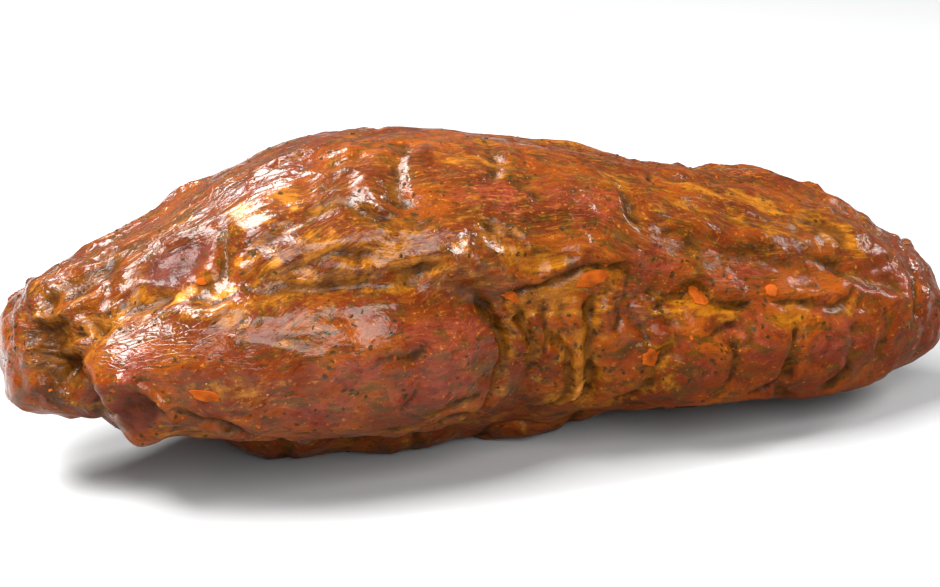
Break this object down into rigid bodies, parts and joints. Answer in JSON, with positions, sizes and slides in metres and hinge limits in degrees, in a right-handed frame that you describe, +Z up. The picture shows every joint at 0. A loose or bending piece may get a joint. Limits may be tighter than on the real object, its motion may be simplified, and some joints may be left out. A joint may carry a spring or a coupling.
{
  "type": "smoked ham",
  "caption": "Boneless smoked ham, a long rounded piece of cured meat in several muscle lobes, tapered at one end and flat where it rests.",
  "frame": {"origin": "on the surface that the ham lies on, under the middle of its box", "axes": "+X along the ham towards its blunt end, -Y its show side, +Z up"},
  "size_m": [0.354, 0.127, 0.115],
  "materials": {
    "smoked_meat": "moist smoked meat, red brown, with orange marinade and fat, dried herbs and a wet gloss"
  },
  "bodies": {
    "root": {"ham": "smoked_meat"}
  },
  "joints": []
}
